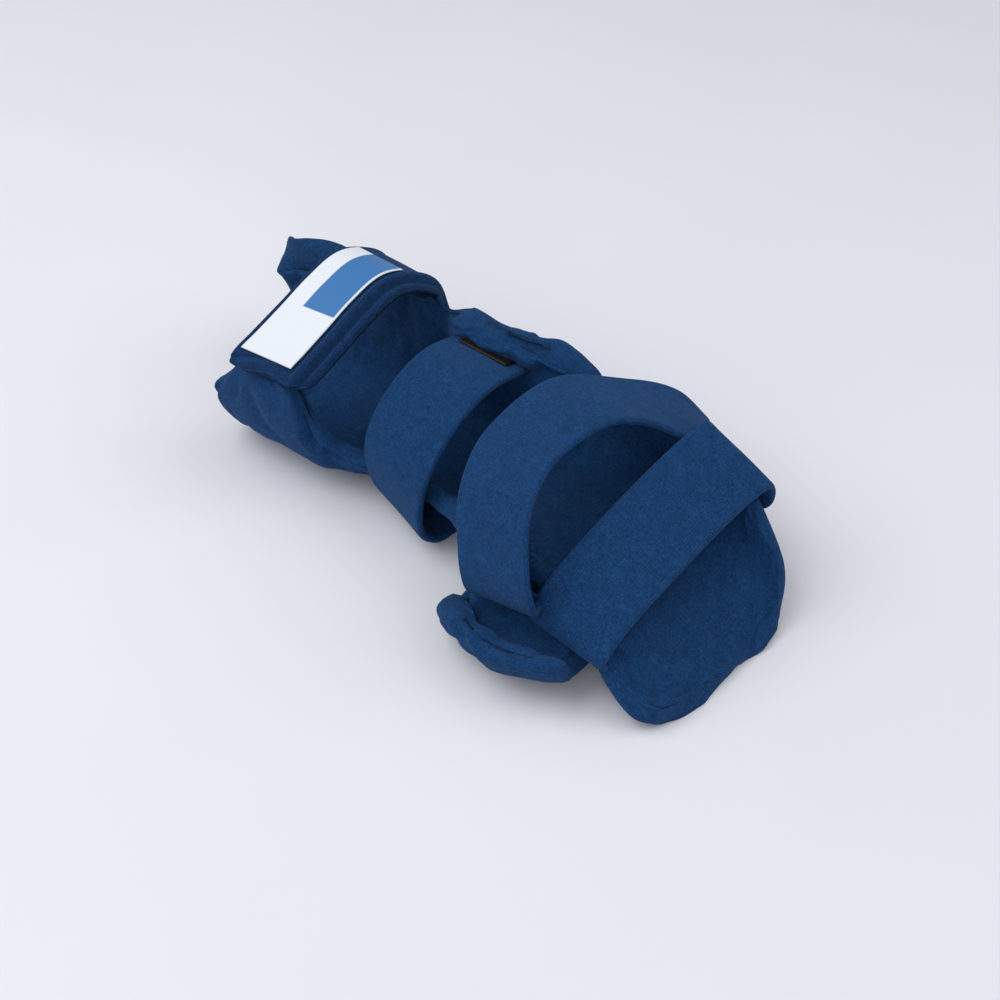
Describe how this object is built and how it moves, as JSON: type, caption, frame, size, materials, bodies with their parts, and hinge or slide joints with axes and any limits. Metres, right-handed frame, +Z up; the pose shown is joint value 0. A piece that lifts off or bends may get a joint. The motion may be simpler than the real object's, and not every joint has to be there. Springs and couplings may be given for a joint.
{
  "type": "resting hand splint",
  "caption": "Left-hand resting splint: padded forearm trough, palm arch and finger pan with a thumb cradle, closed by knit straps with hook fastening.",
  "frame": {"origin": "on the flat underside of the forearm trough, on the centre line, 10 mm in from its end", "axes": "+X towards the fingertips, +Y towards the little-finger side, +Z up, away from the surface it rests on"},
  "size_m": [0.3719, 0.1863, 0.1069],
  "materials": {
    "navy_knit": "brushed loop knit over foam, navy",
    "navy_binding": "loop knit strap with a bound edge, navy",
    "label_cloth": "smooth coated label cloth, bare",
    "hook_tape": "black hook tape"
  },
  "bodies": {
    "root": {"forearm_trough": "navy_knit", "palm_section": "navy_knit", "finger_pan": "navy_knit", "thumb_rest": "navy_knit", "wrist_strap": "navy_knit", "hand_strap": "navy_knit", "finger_strap": "navy_knit", "forearm_strap": "navy_binding", "strap_label": "label_cloth", "wrist_hook_patch": "hook_tape", "hand_hook_tab": "hook_tape", "finger_hook_tab": "hook_tape"}
  },
  "joints": []
}
